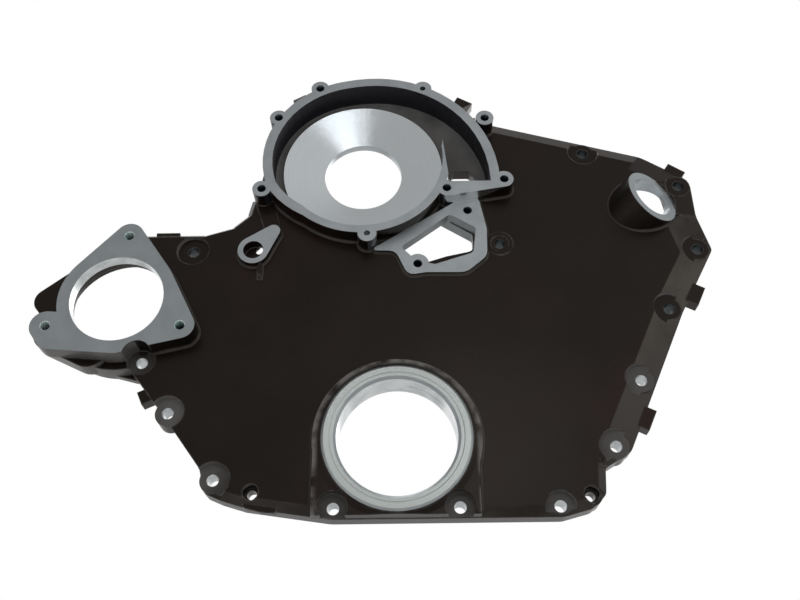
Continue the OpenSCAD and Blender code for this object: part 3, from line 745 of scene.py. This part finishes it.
bright_thread = machined(
    "bright_thread", (0.80, 0.97, 0.94, 1.0), (0.95, 0.98, 0.98, 1.0), 0.42, ACCESSORY * MM, TAP_MARKS)
painted_shade_thread = machined(
    "painted_shade_thread", (0.13, 0.16, 0.18, 1.0), (0.22, 0.25, 0.27, 1.0), 0.28, PUMP * MM, TAP_MARKS)
threads(
    "accessory_threads", LOBE_HOLES, LOBE_HOLE_R, ACCESSORY_FACE, length=13.0, pitch=1.5, finish=bright_thread)
threads("pump_threads", RING_HOLES, RING_HOLE_R, PUMP_FACE, length=20.0, pitch=1.25, finish=painted_shade_thread)
threads("outlet_threads", OUTLET_HOLES, RING_HOLE_R, OUTLET_FACE, length=18.0, pitch=1.25, finish=painted_shade_thread)

# %% [markdown]
# ## Cast fillets
# Sand moulds have no sharp inner corners: wherever a wall rises from the front plate, the metal runs up it in
# a hollow curve. A Bevel modifier would round every edge of the casting, the milled ones too. So the plate is
# cut at the fillet's height, which gives the foot of every wall, and the hollow curve is carried along it.

# %% Foot of every wall that rises from the plate
FILLET = 2.4
STEEP = 0.7
MEETING_STEP = 0.05


def wall_feet(level):
    """Short lines where the casting's walls cross a depth: their two ends and a direction away from the wall
    at each end, which is the mean of the walls that meet there. All lines run the same way round a wall."""
    over = -corner_points[:, :, 1] > level
    crossed = over.any(1) & ~over.all(1) & (np.abs(facing[:, 1]) < STEEP)
    start = corner_points[crossed]
    end = np.roll(start, -1, axis=1)
    cut = over[crossed] != np.roll(over[crossed], -1, axis=1)
    part = (level + start[:, :, 1]) / np.where(cut, start[:, :, 1] - end[:, :, 1], 1.0)
    place = start + part[:, :, None] * (end - start)
    ends = place[cut].reshape(-1, 2, 3)[:, :, [0, 2]]
    out = flat_facing[crossed]
    along = ends[:, 1] - ends[:, 0]
    reversed_way = out[:, 0] * along[:, 1] < out[:, 1] * along[:, 0]
    ends = np.where(reversed_way[:, None, None], ends[:, ::-1], ends)
    _, same = np.unique(np.round(ends.reshape(-1, 2) / MEETING_STEP), axis=0, return_inverse=True)
    same = same.reshape(-1)
    total = np.zeros((same.max() + 1, 2))
    np.add.at(total, same, np.repeat(out, 2, axis=0))
    total /= np.maximum(np.linalg.norm(total, axis=1, keepdims=True), 1e-9)
    return ends, total[same].reshape(-1, 2, 2)


def over_plate(place):
    """Whether each flat point lies on a triangle of the front plate: on one side of all three edges."""
    plate = corner_points[front & at_depth(PLATE)][:, :, [0, 2]]
    a, b, c = plate[None, :, 0], plate[None, :, 1], plate[None, :, 2]

    def side(q, r):
        edge, way = r - q, place[:, None] - q
        return edge[..., 0] * way[..., 1] - edge[..., 1] * way[..., 0]

    sides = np.stack([side(a, b), side(b, c), side(c, a)])
    return ((sides >= 0).all(0) | (sides <= 0).all(0)).any(1)


feet, outward = wall_feet(PLATE + FILLET)
kept = over_plate((feet + outward * FILLET).mean(1))
feet, outward = feet[kept], outward[kept]
print("wall lines on the plate:", len(feet))

# %% Carry the hollow curve along the feet
CURVE_POINTS = 6
curve = np.linspace(0.0, TURN / 4, CURVE_POINTS)
reach = FILLET * (1.0 - np.sin(curve)) + PROUD
height = FILLET * (1.0 - np.cos(curve)) + PROUD
flat_points = feet[:, :, None] + outward[:, :, None] * reach[None, None, :, None]
fillet_depth = np.broadcast_to(-(PLATE + height), flat_points.shape[:3])
fillet_grid = np.stack([flat_points[..., 0], fillet_depth, flat_points[..., 1]], -1)
# The fillets take the lighter paint, so its lighter tone paints a highlight along each hollow curve.
grid_piece("cast_fillets", fillet_grid, finishes[WORN_AND_SHEEN])

# %% [markdown]
# ## View
# Colours are shown as they are written, with no film look.

# %% View
bpy.context.scene.view_settings.view_transform = "Standard"
print("view transform:", bpy.context.scene.view_settings.view_transform)
